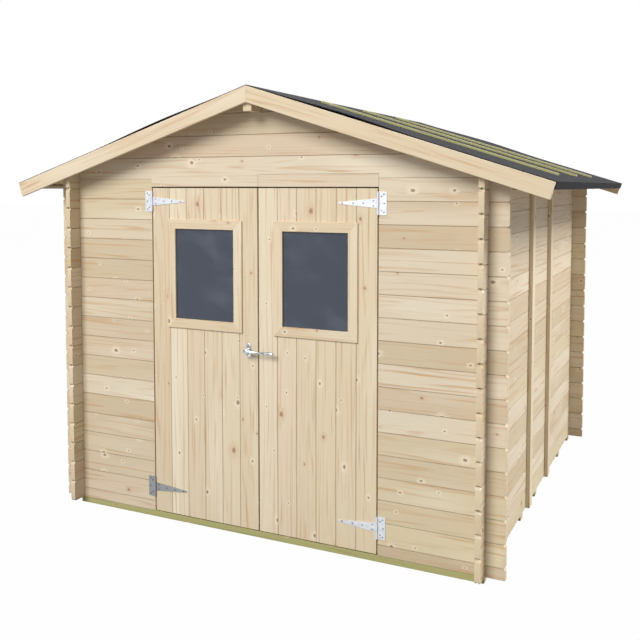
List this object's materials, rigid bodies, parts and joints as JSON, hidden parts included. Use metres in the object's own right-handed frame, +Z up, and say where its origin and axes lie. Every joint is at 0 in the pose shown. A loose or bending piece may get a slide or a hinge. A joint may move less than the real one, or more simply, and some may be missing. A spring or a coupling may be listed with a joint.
{
  "type": "wooden garden shed",
  "caption": "Garden shed of interlocking timber wall boards with crossed corners, a felted gable roof and glazed double doors on strap hinges that swing outwards.",
  "frame": {"origin": "on the ground, under the middle of the roof's plan", "axes": "+Z up, +Y from the doors to the back wall, +X to the right as seen from the doors"},
  "size_m": [3.08, 2.76, 2.3853],
  "materials": {
    "pine_wall": "untreated planed spruce",
    "pine_door": "untreated planed spruce",
    "pine_trim": "untreated planed spruce",
    "treated_timber": "green pressure-treated softwood",
    "roof_felt": "mineral roofing felt",
    "galvanised": "bright zinc plate",
    "handle_metal": "satin nickel",
    "pane": "clear pane"
  },
  "bodies": {
    "shed": {"bearers": "treated_timber", "floor": "pine_wall", "front_wall_left": "pine_wall", "front_wall_right": "pine_wall", "front_gable": "pine_wall", "header_strip": "pine_wall", "rear_wall": "pine_wall", "left_wall": "pine_wall", "right_wall": "pine_wall", "left_storm_battens": "pine_wall", "right_storm_battens": "pine_wall", "left_jamb": "pine_wall", "right_jamb": "pine_wall", "ridge_purlin": "pine_wall", "left_roof_deck": "pine_wall", "right_roof_deck": "pine_wall", "left_eave_batten": "pine_wall", "right_eave_batten": "pine_wall", "left_roof_felt": "roof_felt", "right_roof_felt": "roof_felt", "left_felt_battens": "treated_timber", "right_felt_battens": "treated_timber", "front_left_barge": "pine_trim", "front_right_barge": "pine_trim", "rear_left_barge": "pine_trim", "rear_right_barge": "pine_trim", "left_hinge_plates": "galvanised", "right_hinge_plates": "galvanised"},
    "left_door": {"left_door_panel": "pine_door", "left_door_ledges": "pine_door", "left_window_frame": "pine_trim", "left_window_glass": "pane", "left_window_bead": "pine_wall", "left_hinge_straps": "galvanised", "handle_rose": "handle_metal"},
    "right_door": {"right_door_panel": "pine_door", "right_door_ledges": "pine_door", "right_window_frame": "pine_trim", "right_window_glass": "pane", "right_window_bead": "pine_wall", "right_hinge_straps": "galvanised"},
    "handle": {"handle_lever": "handle_metal"}
  },
  "joints": [
    {"name": "left_door_swing", "type": "hinge", "parent": "shed", "child": "left_door", "pos_m": [-0.672, -1.261, 0.984], "axis": [0, 0, -1], "range_deg": [0, 160]},
    {"name": "right_door_swing", "type": "hinge", "parent": "shed", "child": "right_door", "pos_m": [0.672, -1.261, 0.984], "axis": [0, 0, 1], "range_deg": [0, 160]},
    {"name": "handle_turn", "type": "hinge", "parent": "left_door", "child": "handle", "pos_m": [-0.058, -1.293, 1.006], "axis": [0, 1, 0], "range_deg": [0, 90]}
  ]
}
